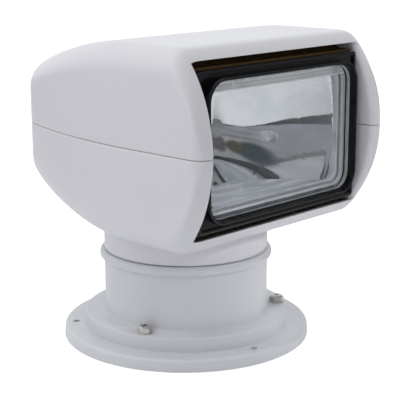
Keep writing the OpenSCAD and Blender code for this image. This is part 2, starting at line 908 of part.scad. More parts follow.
module lens_gasket() {
  color("dimgray")
    lamp_slab(ledge_y, rim_y)
      difference() {
        polygon(round_rect(rim_x, rim_z, 14));
        polygon(round_rect(glass_x + 0.6, glass_z + 0.6, glass_r + 0.6));
      }
}

module front_lens() {
  color("lightblue")
    difference() {
      union() {
        intersection() {
          lamp_slab(bezel_y - glass_out, refl_y)
            polygon(round_rect(glass_x, glass_z, glass_r));
          translate([0, bezel_y - glass_out + 900, lamp_z])
            sphere(r = 900, $fn = 256);
        }
        lamp_slab(rim_y, refl_y)
          polygon(round_rect(rim_x, rim_z, 14));
      }
      intersection() {
        lamp_slab(bezel_y - glass_out, refl_y + 1)
          polygon(round_rect(glass_x - skirt_w, glass_z - skirt_w, glass_r - skirt_w));
        translate([0, bezel_y - glass_out + 904, lamp_z])
          sphere(r = 900, $fn = 256);
      }
    }
}

// Parabola of the reflector, turned about the lamp's axis and cut to the lamp's box.
module dish(x, z, shift, y0) {
  rs = [for (i = [0 : 18]) norm([refl_x, refl_z]) * 1.1 * i / 18];
  intersection() {
    translate([0, vertex_y + shift, lamp_z])
      rotate([90, 0, 0])
        rotate_extrude()
          polygon(concat([for (r = rs) [r, r * r / (4 * focal)]], [[0, rs[18] * rs[18] / (4 * focal)]]));
    lamp_slab(y0, vertex_y + 10)
      polygon(round_rect(x, z, 4));
  }
}

module reflector() {
  color("silver")
    difference() {
      union() {
        dish(refl_x + refl_t, refl_z + refl_t, refl_t, refl_y);
        lamp_slab(refl_y, seat_y)
          polygon(round_rect(rim_x, rim_z, 14));
        rod_y(12, vertex_y - 2, vertex_y + 3);
      }
      dish(refl_x, refl_z, 0, refl_y - 1);
      rod_y(7.2, vertex_y - 20, vertex_y + 10);
    }
}

module bulb_glass() {
  color("lightblue")
    translate([0, vertex_y - 15, lamp_z])
      rotate([90, 0, 0])
        difference() {
          union() {
            cylinder(d = bulb_d, h = bulb_len);
            translate([0, 0, bulb_len])
              sphere(d = bulb_d);
          }
          translate([0, 0, -1])
            cylinder(d = bulb_d - 1.6, h = bulb_len - 1);
        }
}

module filament() {
  color("gray")
    translate([0, vertex_y - 15, lamp_z])
      rotate([90, 0, 0])
        union() {
          for (s = [-1, 1])
            translate([2.2 * s, 0, 0])
              cylinder(r = 0.35, h = bulb_len - 14);
          translate([-2.6, 0, bulb_len - 14.5])
            rotate([0, 90, 0])
              cylinder(r = 1, h = 5.2);
        }
}

module bulb_base() {
  color("silver")
    union() {
      rod_y(7, vertex_y - 15, vertex_y + 4);
      rod_y(10.5, vertex_y + 3, vertex_y + 4.5);
      rod_y(6, vertex_y + 3.5, vertex_y + 9);
    }
}

module bulb_socket() {
  color("ivory")
    union() {
      lamp_slab(vertex_y + 9, vertex_y + 21)
        polygon(round_rect(9, 6.5, 2));
      for (s = [-1, 1])
        rod_y(1.6, vertex_y + 21, vertex_y + 24, 4.5 * s, 0);
    }
}

module bulb_clip() {
  color("silver")
    translate([0, vertex_y + 4.5, lamp_z])
      rotate([-90, 0, 0])
        difference() {
          union() {
            cylinder(r = 11.5, h = 1.2);
            translate([-17, -2, 0])
              cube([34, 4, 1.2]);
          }
          translate([0, 0, -1])
            cylinder(r = 6.2, h = 4);
        }
}

module tilt_pins() {
  color("silver")
    for (s = [0, 1])
      mirror([s, 0, 0])
        rod_x(pin_r, bucket_x - 8, block_out, tilt_y, lamp_z);
}

module tilt_sector() {
  color("ivory")
    translate([sector_x, tilt_y, lamp_z])
      rotate([90, 0, 90])
        difference() {
          union() {
            linear_extrude(height = sector_h)
              polygon(concat(teeth(tilt_teeth, drive_dir, -8, 8), [[0, 0]]));
            cylinder(r = 13, h = sector_h);
            for (z = [-1, 1])
              translate([0, 22 * z, 0])
                cylinder(r = 4.5, h = sector_h);
            translate([-4, -22, 0])
              cube([8, 44, sector_h]);
          }
          translate([0, 0, -1])
            cylinder(r = pin_r + 0.03, h = sector_h + 2);
          for (z = [-1, 1])
            translate([0, 22 * z, -1]) {
              cylinder(r = 1.6, h = sector_h + 2);
              translate([0, 0, sector_h - 1])
                cylinder(r = 2.7, h = 4);
            }
        }
}

module sector_screws() {
  color("silver")
    for (z = [-22, 22])
      translate([sector_x + sector_h - 2, tilt_y, lamp_z + z])
        rotate([0, 90, 0])
          pan_screw(1.25, 3.6, 2.4, 1.6);
}

module tilt_pinion() {
  color("gold")
    translate([0, drive_y, drive_z])
      rotate([90, 0, 90])
        union() {
          translate([0, 0, sector_x - 0.4])
            linear_extrude(height = sector_h + 0.8)
              polygon(teeth(pinion_teeth, drive_dir + 180 + 180 / pinion_teeth, 0, pinion_teeth - 1));
          translate([0, 0, bracket_x - 10])
            cylinder(r = 2, h = sector_x - bracket_x + 9.6);
        }
}

mounting_flange();
cable_grommet();
column_gasket();
base_column();
column_screws();
bearing_plate();
plate_screws();
upper_bush();
lower_bush();
pan_motor();
motor_screws();
pan_pinion();
lower_shell();
upper_shell();
shell_gasket();
shell_screws();
neck_seal();
pan_shaft();
shaft_screws();
gear_spacer();
pan_gear();
retaining_ring();
bearing_blocks();
block_screws();
tilt_bushes();
tilt_motor();
tilt_bracket();
bracket_screws();
receiver_board();
board_parts();
board_screws();
lamp_bucket();
bezel();
bezel_screws();
lens_gasket();
front_lens();
reflector();
bulb_glass();
filament();
bulb_base();
bulb_socket();
bulb_clip();
tilt_pins();
tilt_sector();
sector_screws();
tilt_pinion();
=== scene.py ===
import math

import bmesh
import bpy
from mathutils import Matrix, Vector


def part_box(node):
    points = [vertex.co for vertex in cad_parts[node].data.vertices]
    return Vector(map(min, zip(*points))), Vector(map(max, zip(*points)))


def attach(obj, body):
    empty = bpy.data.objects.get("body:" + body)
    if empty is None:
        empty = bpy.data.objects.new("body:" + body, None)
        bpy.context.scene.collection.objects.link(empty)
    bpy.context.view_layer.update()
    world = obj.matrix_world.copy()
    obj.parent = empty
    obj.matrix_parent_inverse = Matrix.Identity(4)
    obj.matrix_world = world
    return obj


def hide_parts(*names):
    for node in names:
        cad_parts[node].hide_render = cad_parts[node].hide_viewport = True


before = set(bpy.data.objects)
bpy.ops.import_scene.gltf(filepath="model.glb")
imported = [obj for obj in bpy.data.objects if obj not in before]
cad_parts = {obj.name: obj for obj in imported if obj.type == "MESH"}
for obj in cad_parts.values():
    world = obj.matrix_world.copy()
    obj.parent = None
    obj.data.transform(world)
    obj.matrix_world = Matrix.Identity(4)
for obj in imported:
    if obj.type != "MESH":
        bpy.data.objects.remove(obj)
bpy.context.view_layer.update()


# Mounting flange
# A round foot that is bolted flat to a deck or cabin roof, die-cast in alloy and coated in white enamel.
# Three bolt holes go right through it and a notch under its rim lets a cable out sideways.

MM = 0.001
CRISP = 35
TURN_SIDES, DRILL_SIDES = 192, 32
DRILL_LOW, DRILL_HIGH = -5, 20


class Val:
    """A socket of a finish. Arithmetic on it adds Math nodes."""

    def __init__(self, finish, socket):
        self.finish = finish
        self.socket = socket

    def _math(self, operation, a, b):
        return self.finish.add("Math", {"operation": operation}, {0: a, 1: b})

    def __add__(self, other):
        return self._math("ADD", self, other)

    def __radd__(self, other):
        return self._math("ADD", other, self)

    def __sub__(self, other):
        return self._math("SUBTRACT", self, other)

    def __rsub__(self, other):
        return self._math("SUBTRACT", other, self)

    def __mul__(self, other):
        return self._math("MULTIPLY", self, other)

    def __rmul__(self, other):
        return self._math("MULTIPLY", other, self)


class Finish:
    """A material with one Principled shader, and a method that adds any other node."""

    def __init__(self, name, **values):
        self.material = bpy.data.materials.new(name)
        self.material.use_nodes = True
        self.tree = self.material.node_tree
        self.shader = self.tree.nodes["Principled BSDF"]
        self.fill(self.shader, {key.replace("_", " "): value for key, value in values.items()})

    def fill(self, node, sockets):
        """Links or sets a node's inputs."""
        for key, value in sockets.items():
            if isinstance(value, Val):
                self.tree.links.new(value.socket, node.inputs[key])
            else:
                node.inputs[key].default_value = value

    def add(self, kind, settings=None, sockets=None, out=0):
        """Adds a node: its settings are set first, then its inputs. Gives one of its outputs."""
        node = self.tree.nodes.new("ShaderNode" + kind)
        for key, value in (settings or {}).items():
            if key == "stops":
                while len(node.color_ramp.elements) < len(value):
                    node.color_ramp.elements.new(1)
                for element, (place, colour) in zip(node.color_ramp.elements, value):
                    element.position = place
                    element.color = colour
            else:
                setattr(node, key, value)
        self.fill(node, sockets or {})
        return Val(self, node.outputs[out])

    def noise(self, size, detail, stretch=(1, 1, 1)):
        """Noise from 0 to 1 whose grains are about size mm across."""
        place = self.add("TexCoord", out="Object")
        grain = self.add("Mapping", None, {"Vector": place, "Scale": [s / (size * MM) for s in stretch]})
        return self.add("TexNoise", None, {"Vector": grain, "Scale": 1.0, "Detail": detail})

    def tint(self, mask, low, high):
        """Base colour that goes from low to high with the mask."""
        self.set("Base Color", self.add("Mix", {"data_type": "RGBA"},
                                        {"Factor": mask, 6: (*low, 1), 7: (*high, 1)}, out=2))

    def bump(self, height, depth):
        """Relief that is depth mm deep where the height goes from 0 to 1."""
        self.set("Normal", self.add("Bump", None, {"Height": height, "Distance": depth * MM}))

    def set(self, name, value):
        """Links or sets one input of the shader."""
        self.fill(self.shader, {name: value})


def white_enamel(name, low, high, gloss, peel):
    """White coat with a soft cloudiness and a fine orange peel."""
    finish = Finish(name, IOR=1.5)
    finish.tint(finish.noise(60, 4), low, high)
    finish.set("Roughness", gloss + 0.1 * finish.noise(12, 4))
    finish.bump(finish.noise(1.1, 2), peel)
    return finish.material


def arc(cx, cz, r, start, end, steps):
    """Points on a round stretch of a profile, angles in degrees."""
    turns = [math.radians(start + (end - start) * k / steps) for k in range(steps + 1)]
    return [(cx + r * math.cos(a), cz + r * math.sin(a)) for a in turns]


def dress(thing, material, smooth=CRISP):
    """Gives a mesh its finish and outward faces. Edges that turn by more than smooth degrees stay crisp."""
    solid = bmesh.new()
    solid.from_mesh(thing.data)
    bmesh.ops.remove_doubles(solid, verts=solid.verts, dist=1e-7)
    bmesh.ops.recalc_face_normals(solid, faces=solid.faces)
    solid.to_mesh(thing.data)
    solid.free()
    thing.data.materials.clear()
    thing.data.materials.append(material)
    thing.data.shade_smooth()
    thing.data.set_sharp_from_angle(angle=math.radians(smooth))


def stand(name, mesh, material, smooth=CRISP):
    """Puts a mesh into the scene as an object, in its finish."""
    thing = bpy.data.objects.new(name, mesh)
    bpy.context.scene.collection.objects.link(thing)
    dress(thing, material, smooth)
    return thing


def piece(name, points, faces, material, smooth=CRISP):
    """An object from its points and faces."""
    mesh = bpy.data.meshes.new(name)
    mesh.from_pydata(points, [], faces)
    mesh.update()
    return stand(name, mesh, material, smooth)


def woven(rows, count, closed=True):
    """Faces between rings of count points each and, if closed, from the last ring to the first."""
    faces = []
    for i in range(rows if closed else rows - 1):
        n = (i + 1) % rows
        for k in range(count):
            j = (k + 1) % count
            faces.append((i * count + k, i * count + j, n * count + j, n * count + k))
    return faces


def turned(name, profile, material, smooth=CRISP):
    """A closed ring turned about the pan axis from its (radius, height) profile in mm."""
    points = []
    for k in range(TURN_SIDES):
        a = 2 * math.pi * k / TURN_SIDES
        points += [(r * MM * math.cos(a), r * MM * math.sin(a), z * MM) for r, z in profile]
    return piece(name, points, woven(TURN_SIDES, len(profile)), material, smooth)


def settle(thing, smooth=CRISP):
    """Turns a piece's modifiers into its mesh."""
    graph = bpy.context.evaluated_depsgraph_get()
    mesh = bpy.data.meshes.new_from_object(thing.evaluated_get(graph))
    thing.modifiers.clear()
    thing.data = mesh
    dress(thing, mesh.materials[0], smooth)


def cut(thing, cutter):
    """Takes one piece's form out of another."""
    step = thing.modifiers.new("cut", "BOOLEAN")
    step.object = cutter
    step.solver = "EXACT"
    settle(thing)
    bpy.data.objects.remove(cutter)


def drill(r, x, y):
    """An upright cutter for a hole, in mm."""
    rim = arc(x, y, r, 0, 360, DRILL_SIDES)[:-1]
    points = [(px * MM, py * MM, z * MM) for z in (DRILL_LOW, DRILL_HIGH) for px, py in rim]
    ends = [tuple(range(DRILL_SIDES)), tuple(range(DRILL_SIDES, 2 * DRILL_SIDES))]
    return piece("drill", points, ends + woven(2, DRILL_SIDES, closed=False), casting_white)


casting_white = white_enamel("casting_white", (0.70, 0.71, 0.735), (0.735, 0.745, 0.77),
                             gloss=0.30, peel=0.04)
flange_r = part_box("mounting_flange")[1].x / MM
flange_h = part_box("mounting_flange")[1].z / MM
CABLE_BORE_R, RECESS_R, RECESS_H = 9, 62, 4
FOOT_EDGE, SHOULDER_R, SHOULDER_IN, SHOULDER_START = 0.5, 2.6, 2.9, 8
DECK_PCD, DECK_HOLES, DECK_HOLE_R, DECK_TURN = 172, 3, 2.75, -101
NOTCH_W, NOTCH_H, NOTCH_TURN = 6.6, 5.4, 134
NOTCH_FROM, NOTCH_TO, NOTCH_LOW = 60, 110, -3

flange = turned("flange_casting",
                [(CABLE_BORE_R, RECESS_H), (RECESS_R, RECESS_H), (RECESS_R, 0)]
                + arc(flange_r - FOOT_EDGE, FOOT_EDGE, FOOT_EDGE, -90, 0, 4)
                + arc(flange_r - SHOULDER_IN, flange_h - SHOULDER_R, SHOULDER_R, SHOULDER_START, 90, 10)
                + [(CABLE_BORE_R, flange_h)], casting_white)
for k in range(DECK_HOLES):
    turn = math.radians(DECK_TURN + 360 / DECK_HOLES * k)
    cut(flange, drill(DECK_HOLE_R, DECK_PCD / 2 * math.cos(turn), DECK_PCD / 2 * math.sin(turn)))
notch_points = [(x * MM, y * MM, z * MM) for x in (NOTCH_FROM, NOTCH_TO)
                for y in (-NOTCH_W / 2, NOTCH_W / 2) for z in (NOTCH_LOW, NOTCH_H)]
notch_faces = [(0, 1, 3, 2), (4, 5, 7, 6), (0, 1, 5, 4), (2, 3, 7, 6), (0, 2, 6, 4), (1, 3, 7, 5)]
notch = piece("notch", notch_points, notch_faces, casting_white)
notch.data.transform(Matrix.Rotation(math.radians(NOTCH_TURN), 4, "Z"))
cut(flange, notch)
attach(flange, "base")
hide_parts("mounting_flange")


# Base column
# A hollow casting that stands on the flange: a foot step, a plain column and a rounded bead below the gap
# at which the head turns. It has the flange's white enamel.

column_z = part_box("base_column")[1].z / MM
step_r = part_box("base_column")[1].x / MM
STEP_Z, STEP_EDGE, STEP_FILLET = 19.5, 1.3, 1.6
COLUMN_R, BORE_R, COLUMN_CRISP = 63.0, 58.9, 40
BEAD_H, BEAD_OUT, BEAD_POWER, BEAD_STEPS = 7.4, 3.4, 0.75, 24
bead = []
for k in range(BEAD_STEPS + 1):
    lean = math.radians(-90 + 180 * k / BEAD_STEPS)
    bead.append((COLUMN_R + BEAD_OUT * abs(math.cos(lean)) ** BEAD_POWER,
                 column_z - BEAD_H / 2 + BEAD_H / 2 * math.sin(lean)))
column = turned("column_casting",
                [(BORE_R, flange_h), (step_r, flange_h)]
                + arc(step_r - STEP_EDGE, STEP_Z - STEP_EDGE, STEP_EDGE, 0, 90, 6)
                + arc(COLUMN_R + STEP_FILLET, STEP_Z + STEP_FILLET, STEP_FILLET, -90, -180, 6)
                + bead + [(BORE_R, column_z)], casting_white, COLUMN_CRISP)
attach(column, "base")
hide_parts("base_column")


# Fasteners and steel pieces
# Stainless screws with flanged hexagon heads and cross recesses hold the column down; the smaller screws,
# the pan shaft, its ring and the tilt pins inside are of the same steel, turned and left bright.

def bright_steel(name, low, high, rough):
    """Turned stainless steel: fine rings of tool marks and slight stains."""
    finish = Finish(name, Metallic=1.0)
    marks = finish.noise(0.9, 2, (1, 1, 6))
    finish.tint(finish.noise(4, 4), low, high)
    finish.set("Roughness", rough + 0.16 * marks)
    finish.bump(marks, 0.03)
    return finish.material


def soften(thing, edge, angle):
    """Rounds the edges that turn by more than angle degrees, edge mm wide."""
    step = thing.modifiers.new("edge", "BEVEL")
    step.width = edge * MM
    step.segments = 2
    step.limit_method = "ANGLE"
    step.angle_limit = math.radians(angle)
    return step


def refine(node, material, edge=0.0):
    """Keeps a solid as it is, with a finish and, where edge is given, slightly rounded edges."""
    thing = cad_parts[node]
    thing.data.materials.clear()
    thing.data.materials.append(material)
    if edge:
        soften(thing, edge, CRISP).harden_normals = True


STEEL_EDGE = 0.3
screw_steel = bright_steel("screw_steel", (0.52, 0.50, 0.46), (0.68, 0.66, 0.62), rough=0.22)
refine("column_screws", screw_steel, STEEL_EDGE)
for node in ("plate_screws", "motor_screws", "shell_screws", "shaft_screws", "block_screws", "bracket_screws",
             "board_screws", "bezel_screws", "sector_screws", "pan_shaft", "retaining_ring", "tilt_pins"):
    refine(node, screw_steel)


# Pan drive and bearings in the base
# A machined alloy plate carries two acetal bushes and the gearmotor; a brass pinion turns the acetal gear on
# the shaft. Rubber seals close the base floor, the column's foot and the turning gap.

def grained(name, low, high, rough, metallic=0.0, sheen=0.5):
    """A fine grain: worn tool marks on metal, or the mould's texture on plastic and rubber."""
    finish = Finish(name, Metallic=metallic, Specular_IOR_Level=sheen)
    grain = finish.noise(1.5, 3, (1, 1, 4))
    finish.tint(finish.noise(20, 4), low, high)
    finish.set("Roughness", rough + 0.15 * grain)
    finish.bump(grain, 0.03)
    return finish.material


plate_alloy = grained("plate_alloy", (0.58, 0.58, 0.60), (0.72, 0.72, 0.74), rough=0.32, metallic=1.0)
black_acetal = grained("black_acetal", (0.02, 0.02, 0.02), (0.04, 0.04, 0.04), rough=0.45)
natural_acetal = grained("natural_acetal", (0.74, 0.71, 0.62), (0.82, 0.80, 0.73), rough=0.4)
pinion_brass = grained("pinion_brass", (0.62, 0.44, 0.17), (0.78, 0.60, 0.28), rough=0.25, metallic=1.0)
motor_can = grained("motor_can", (0.42, 0.42, 0.43), (0.56, 0.56, 0.57), rough=0.3, metallic=1.0)
seal_rubber = grained("seal_rubber", (0.012, 0.012, 0.012), (0.03, 0.03, 0.03), rough=0.6)
for node, material in (("bearing_plate", plate_alloy), ("gear_spacer", plate_alloy),
                       ("upper_bush", black_acetal), ("lower_bush", black_acetal),
                       ("pan_gear", natural_acetal), ("pan_pinion", pinion_brass), ("pan_motor", motor_can),
                       ("cable_grommet", seal_rubber), ("column_gasket", seal_rubber),
                       ("neck_seal", seal_rubber)):
    refine(node, material)


# Head shells
# Two white mouldings that meet at a level seam: the plan narrows to the back, the side view is round in front
# and behind, and the front is cut out for the lamp between two cheeks. The lower one has the turning neck.

shell_white = white_enamel("shell_white", (0.750, 0.745, 0.772), (0.780, 0.775, 0.802),
                           gloss=0.26, peel=0.03)
SEAM_GAP, WALL, SHELL_EDGE, SHELL_EDGE_ANGLE, SHELL_CRISP = 0.5, 2.6, 0.35, 50, 40
ARC_Y, ARC_R, BACK_R, ARC_BLEND = -7.0, 104.9, 116.2, 30
EDGE_R, EDGE_SHARE, NOSE_R, TAIL_R = 18.0, 0.96, 9.7, 22.0
PLAN_START, PLAN_REACH, PLAN_POWER = -51.5, 220.3, 1.9
TOP_START, TOP_REACH, TOP_POWER = -19.8, 188.6, 1.434
CHEEK_W, CHEEK_BACK, NOSE_IN = 14.85, -69.0, 5.0
LIP_UP, LIP_DOWN, LIP_T, LIP_ZONE, LIP_SLACK, LIP_THIN = 8.8, 10.7, 3.0, 15.0, 0.01, 0.05
seam_z = (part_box("upper_shell")[0].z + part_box("lower_shell")[1].z) / 2 / MM
half_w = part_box("upper_shell")[1].x / MM
half_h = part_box("upper_shell")[1].z / MM - seam_z - SEAM_GAP / 2
mouth_x = half_w - CHEEK_W


def plan_x(y):
    """Half the head's width at y."""
    nose = max(0, NOSE_R - (ARC_R - ARC_Y) - y)
    tail = max(0, y - (ARC_Y + BACK_R) + TAIL_R)
    nose_cut = NOSE_R - math.sqrt(max(0, NOSE_R ** 2 - nose ** 2))
    tail_cut = TAIL_R - math.sqrt(max(0, TAIL_R ** 2 - tail ** 2))
    fall = 1 - (max(0, y - PLAN_START) / PLAN_REACH) ** PLAN_POWER
    return half_w * fall ** (1 / PLAN_POWER) - nose_cut - tail_cut


def side_z(y):
    """Half the head's height at y: the lower of a round and a flatter line, blended where they cross."""
    r = ARC_R if y < ARC_Y else BACK_R
    circle = math.sqrt(max(0.01, r * r - (y - ARC_Y) ** 2))
    flat = half_h * (1 - (max(0, y - TOP_START) / TOP_REACH) ** TOP_POWER) ** (1 / TOP_POWER)
    return half_h * ((circle / half_h) ** -ARC_BLEND + (flat / half_h) ** -ARC_BLEND) ** (-1 / ARC_BLEND)


def section(y):
    """Half width, half height and edge radius of the head's section at y."""
    h = side_z(y)
    return plan_x(y), h, min(EDGE_R, EDGE_SHARE * h)


def section_z(y, x):
    """Height of the head's section at y, over x."""
    w, h, r = section(y)
    return h if x < w - r else h - r + math.sqrt(max(0, r * r - (x - w + r) ** 2))


SECTION_STEPS = 24


def section_line(y, x):
    """The head's section at y, up the flank and round the edge as far in as x."""
    w, h, r = section(y)
    line = [(w, (h - r) * k / SECTION_STEPS) for k in range(SECTION_STEPS)]
    line += arc(w - r, h - r, r, 0, 90, SECTION_STEPS)
    line += [((w - r) * (1 - k / SECTION_STEPS), h) for k in range(1, SECTION_STEPS + 1)]
    for i, (a, b) in enumerate(zip(line, line[1:])):
        if b[0] <= x <= a[0] and a[0] > b[0]:
            part = (a[0] - x) / (a[0] - b[0])
            return line[:i + 1] + [(x, a[1] + (b[1] - a[1]) * part)]
    raise ValueError(f"no crossing at {x}")


def spaced(line, count):
    """A line's points again, count steps of even length."""
    lengths = [0]
    for a, b in zip(line, line[1:]):
        lengths.append(lengths[-1] + math.dist(a, b))
    points = []
    i = 0
    for k in range(count + 1):
        want = lengths[-1] * k / count
        while i < len(line) - 2 and lengths[i + 1] < want:
            i += 1
        part = (want - lengths[i]) / max(1e-9, lengths[i + 1] - lengths[i])
        points.append(tuple(a + (b - a) * part for a, b in zip(line[i], line[i + 1])))
    return points


def front_y_at(turn):
    """How far forward the head's round front is, turn degrees above its middle."""
    return ARC_Y - ARC_R * math.cos(math.radians(turn))


def nose_point(x, drop, turn):
    """A point of a cheek's nose: the round front at x, taken in towards its axis by drop."""
    y = front_y_at(turn)
    z = section_z(y, x)
    keep = 1 - drop / math.hypot(y - ARC_Y, z)
    return x, ARC_Y + (y - ARC_Y) * keep, z * keep


CHEEK_STEPS, NOSE_STEPS, ROOF_STEPS, WALL_STEPS = 26, 8, 22, 6
SEARCH_BELOW, SEARCH_ABOVE, HALVINGS = 1, 6, 40


def nose_columns(lip_y, lip_turn):
    """The rounding of a cheek's inner edge: x, drop and the turn at which each line meets the lip."""
    columns = []
    for k in range(1, NOSE_STEPS + 1):
        bend = math.radians(90 * k / NOSE_STEPS)
        x, drop = mouth_x + NOSE_IN * (1 - math.sin(bend)), NOSE_IN * (1 - math.cos(bend))
        low, high = lip_turn - SEARCH_BELOW, lip_turn + SEARCH_ABOVE
        for _ in range(HALVINGS):
            mid = (low + high) / 2
            low, high = (mid, high) if nose_point(x, drop, mid)[2] < section_z(lip_y, x) else (low, mid)
        columns.append((x, drop, mid))
    return columns


FRONT_ROWS, FIRST_TURN = 24, 0.6


def cheek_rows(columns, lip_turn):
    """Rows of a cheek from the seam to the lip, each along its flank, round its nose and back inside."""
    rows = []
    for k in range(FRONT_ROWS + 1):
        turn = FIRST_TURN + (lip_turn - FIRST_TURN) * k / FRONT_ROWS
        y = front_y_at(turn)
        flank = [(x, y, z) for x, z in spaced(section_line(y, mouth_x + NOSE_IN), CHEEK_STEPS)]
        nose = [nose_point(x, drop, turn * end / lip_turn) for x, drop, end in columns]
        x, y, z = nose[-1]
        wall = [(x, y + (CHEEK_BACK - y) * n / WALL_STEPS, z) for n in range(1, WALL_STEPS + 1)]
        rows.append(flank + nose + wall)
    return [[(x, y, 0) for x, y, z in rows[0]]] + rows


ROOF_END, ROOF_ROWS, ROOF_CROWD = 72, 40, 1.6
BACK_ROWS, LAST_TURN = 26, 0.4


def roof_depths(lip_y):
    """The y of the roof's rows, which crowd at the lip and go round the back by even turns."""
    depths = [lip_y + (ROOF_END - lip_y) * (k / ROOF_ROWS) ** ROOF_CROWD for k in range(ROOF_ROWS + 1)]
    back_turn = math.degrees(math.acos((ROOF_END - ARC_Y) / BACK_R))
    for k in range(1, BACK_ROWS + 1):
        turn = math.radians(back_turn + (LAST_TURN - back_turn) * k / BACK_ROWS)
        depths.append(ARC_Y + BACK_R * math.cos(turn))
    return depths


OUTER_SHARE, INNER_SHARE = 0.905, 0.855


def shell_skin(up, lip_y, lip_turn):
    """A shell half's outer skin, rounded noses and cheek walls as one sheet."""
    columns = nose_columns(lip_y, lip_turn)
    sheet = bmesh.new()

    def corner(x, y, z):
        """A corner at z mm from the seam, above it or below."""
        return sheet.verts.new((x * MM, y * MM, (seam_z + up * (SEAM_GAP / 2 + z)) * MM))

    def weave(rows):
        """Faces between rows of corners, with three sides where two rows share a corner."""
        for a, b in zip(rows, rows[1:]):
            for i in range(len(a) - 1):
                sheet.faces.new(dict.fromkeys((a[i], a[i + 1], b[i + 1], b[i])))

    rows = cheek_rows(columns, lip_turn)
    cheeks = {side: [[corner(side * x, y, z) for x, y, z in row] for row in rows] for side in (1, -1)}
    roof = []
    for y in roof_depths(lip_y):
        outer = min(mouth_x + NOSE_IN, plan_x(y) * OUTER_SHARE)
        inner = min(mouth_x, plan_x(y) * INNER_SHARE)
        flank = spaced(section_line(y, outer), CHEEK_STEPS)
        at_lip = y == lip_y
        over = [outer + (inner - outer) * k / NOSE_STEPS for k in range(1, NOSE_STEPS + 1)]
        if at_lip:
            over = [x for x, drop, end in columns]
        over += [inner * (1 - k / ROOF_STEPS) for k in range(1, ROOF_STEPS + 1)]
        halves = {}
        for side in (1, -1):
            if at_lip:
                start = cheeks[side][-1][:CHEEK_STEPS + 1]
            else:
                start = [corner(side * x, y, z) for x, z in flank]
            halves[side] = start + [corner(side * x, y, section_z(y, x)) for x in over]
        roof.append(halves[1] + halves[-1][-2::-1])
        if at_lip:
            mouth = CHEEK_STEPS + NOSE_STEPS
            for side in (1, -1):
                weave([halves[side][CHEEK_STEPS:mouth + 1], cheeks[side][-1][CHEEK_STEPS:mouth + 1]])
            edge = halves[1][mouth:] + halves[-1][mouth:-1][::-1]
            ways = [Vector((0, LIP_T * MM * share, 0)) for share in (0.5, 1)]
            weave([edge] + [[sheet.verts.new(v.co + way) for v in edge] for way in ways])
    tail = roof[-1]
    seam_row = [sheet.verts.new((v.co.x, v.co.y, tail[0].co.z)) for v in tail[1:-1]]
    roof.append([tail[0]] + seam_row + [tail[-1]])
    weave(cheeks[1])
    weave(cheeks[-1])
    weave(roof)
    return sheet


def from_sheet(name, sheet, material, smooth=CRISP):
    """An object from a finished bmesh."""
    mesh = bpy.data.meshes.new(name)
    sheet.to_mesh(mesh)
    sheet.free()
    return stand(name, mesh, material, smooth)


def shell_half(name, up, lip):
    """A shell half, its skin thickened inward by a wall that tapers to an edge at the lip."""
    lip_y = ARC_Y - math.sqrt(ARC_R ** 2 - lip ** 2)
    lip_turn = math.degrees(math.acos((ARC_Y - lip_y) / ARC_R))
    half = from_sheet(name, shell_skin(up, lip_y, lip_turn), shell_white)
    wall = half.vertex_groups.new(name="wall")
    for vert in half.data.vertices:
        x, y, z = vert.co / MM
        by_lip = abs(x) < mouth_x + LIP_SLACK and y < lip_y + LIP_ZONE
        wall.add([vert.index], min(1, max(0, up * (z - seam_z) - lip) / WALL) if by_lip else 1, "REPLACE")
    thick = half.modifiers.new("wall", "SOLIDIFY")
    thick.thickness = WALL * MM
    thick.offset = -1
    thick.vertex_group = "wall"
    thick.thickness_vertex_group = LIP_THIN
    soften(half, SHELL_EDGE, SHELL_EDGE_ANGLE)
    settle(half, SHELL_CRISP)
    half.vertex_groups.clear()
    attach(half, "head")
    return half


upper = shell_half("upper_moulding", 1, half_h - LIP_UP)
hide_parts("upper_shell")
lower = shell_half("lower_moulding", -1, half_h - LIP_DOWN)
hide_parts("lower_shell")

NECK_GAP, NECK_EDGE, NECK_T, NECK_FLOOR = 0.5, 0.8, 3, 4
SPIGOT_GAP, SPIGOT_IN, SPIGOT_L = 1, 3.5, 10
neck_z = column_z + NECK_GAP
neck = turned("neck", arc(COLUMN_R - NECK_EDGE, neck_z + NECK_EDGE, NECK_EDGE, -90, 0, 5)
              + [(COLUMN_R, seam_z), (COLUMN_R - NECK_T, seam_z), (COLUMN_R - NECK_T, neck_z + NECK_FLOOR),
                 (BORE_R - SPIGOT_IN, neck_z + NECK_FLOOR), (BORE_R - SPIGOT_IN, neck_z - SPIGOT_L),
                 (BORE_R - SPIGOT_GAP, neck_z - SPIGOT_L), (BORE_R - SPIGOT_GAP, neck_z)], shell_white)
# The neck's top edges, drawn at the seam, are set into the middle of the lower shell's wall.
for corner in neck.data.vertices:
    if corner.co.z > (seam_z - WALL) * MM:
        wall_z = seam_z - SEAM_GAP / 2 - section_z(corner.co.y / MM, abs(corner.co.x) / MM)
        corner.co.z = (wall_z + WALL / 2) * MM
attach(neck, "head")
refine("shell_gasket", seal_rubber)


# Tilt drive and receiver inside the head
# Acetal blocks with bushes carry the lamp's pins; a gearmotor on a bent alloy bracket turns the sector on the
# lamp through a brass pinion. The receiver of the remote control is a green board with black parts.

solder_mask = grained("solder_mask", (0.012, 0.10, 0.035), (0.02, 0.14, 0.05), rough=0.3)
moulded_parts = grained("moulded_parts", (0.015, 0.015, 0.016), (0.03, 0.03, 0.03), rough=0.4)
for node, material in (("bearing_blocks", black_acetal), ("tilt_bushes", natural_acetal),
                       ("tilt_motor", motor_can), ("tilt_bracket", plate_alloy),
                       ("tilt_pinion", pinion_brass), ("tilt_sector", natural_acetal),
                       ("receiver_board", solder_mask), ("board_parts", moulded_parts)):
    refine(node, material)


# Lamp bucket
# The brown-black moulded housing of the lamp, curved about the tilt axis so that the opening stays closed
# as the lamp tilts; it shows above and below the bezel.

bucket_brown = grained("bucket_brown", (0.080, 0.045, 0.017), (0.135, 0.076, 0.029), rough=0.5, sheen=0.1)
refine("lamp_bucket", bucket_brown)


